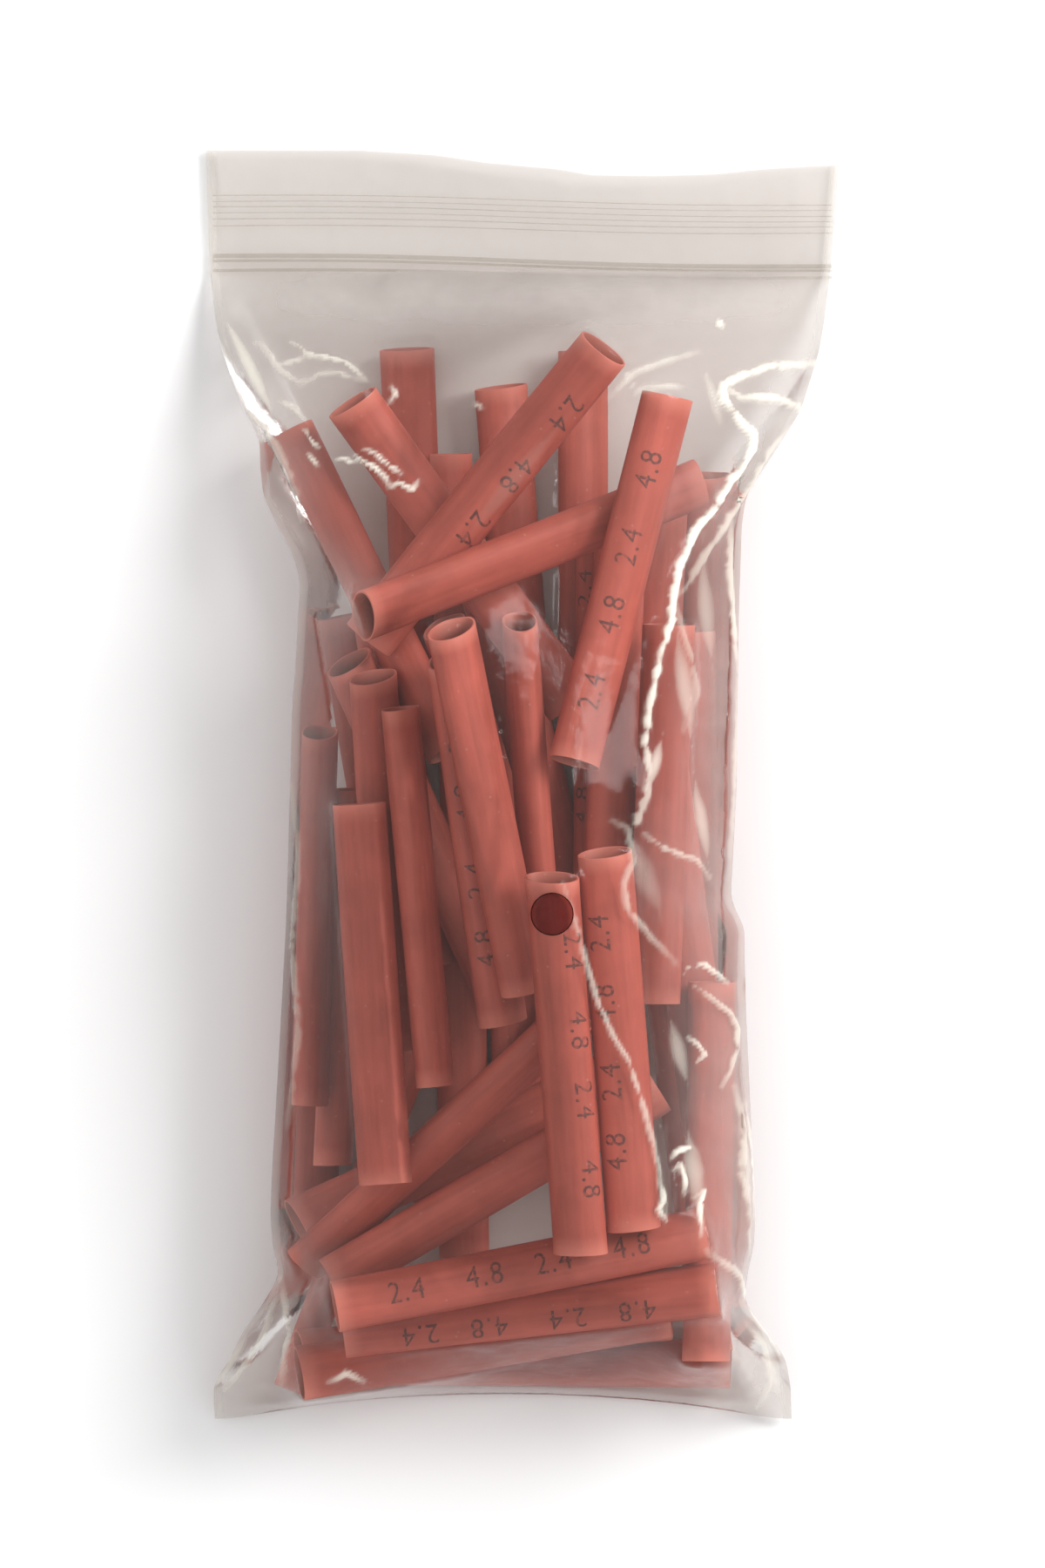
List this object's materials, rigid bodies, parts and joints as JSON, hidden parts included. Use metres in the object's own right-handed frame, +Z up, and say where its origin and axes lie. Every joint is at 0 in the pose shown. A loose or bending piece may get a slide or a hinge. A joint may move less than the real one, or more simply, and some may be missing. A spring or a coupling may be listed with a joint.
{
  "type": "heat shrink tube pack",
  "caption": "Clear press-to-close bag with a vent hole, full of short cut lengths of red heat shrink tube for insulating wire joints.",
  "frame": {"origin": "middle of the bag's footprint, on the floor that its lower film lies on", "axes": "+Y runs along the bag from its bottom weld to its zip, +X across it, +Z up through the upper film"},
  "size_m": [0.0762, 0.1524, 0.0378],
  "materials": {
    "tube": "satin red polyolefin",
    "film": "thin clear polyethylene film, slightly hazy"
  },
  "bodies": {
    "root": {"tube_01": "tube", "tube_02": "tube", "tube_03": "tube", "tube_04": "tube", "tube_05": "tube", "tube_06": "tube", "tube_07": "tube", "tube_08": "tube", "tube_09": "tube", "tube_10": "tube", "tube_11": "tube", "tube_12": "tube", "tube_13": "tube", "tube_14": "tube", "tube_15": "tube", "tube_16": "tube", "tube_17": "tube", "tube_18": "tube", "tube_19": "tube", "tube_20": "tube", "tube_21": "tube", "tube_22": "tube", "tube_23": "tube", "tube_24": "tube", "tube_25": "tube", "tube_26": "tube", "tube_27": "tube", "tube_28": "tube", "tube_29": "tube", "tube_30": "tube", "tube_31": "tube", "tube_32": "tube", "tube_33": "tube", "tube_34": "tube", "tube_35": "tube", "tube_36": "tube", "tube_37": "tube", "tube_38": "tube", "tube_39": "tube", "tube_40": "tube", "tube_41": "tube", "tube_42": "tube", "tube_43": "tube", "tube_44": "tube", "tube_45": "tube", "tube_46": "tube", "tube_47": "tube", "zip_bag": "film"}
  },
  "joints": []
}
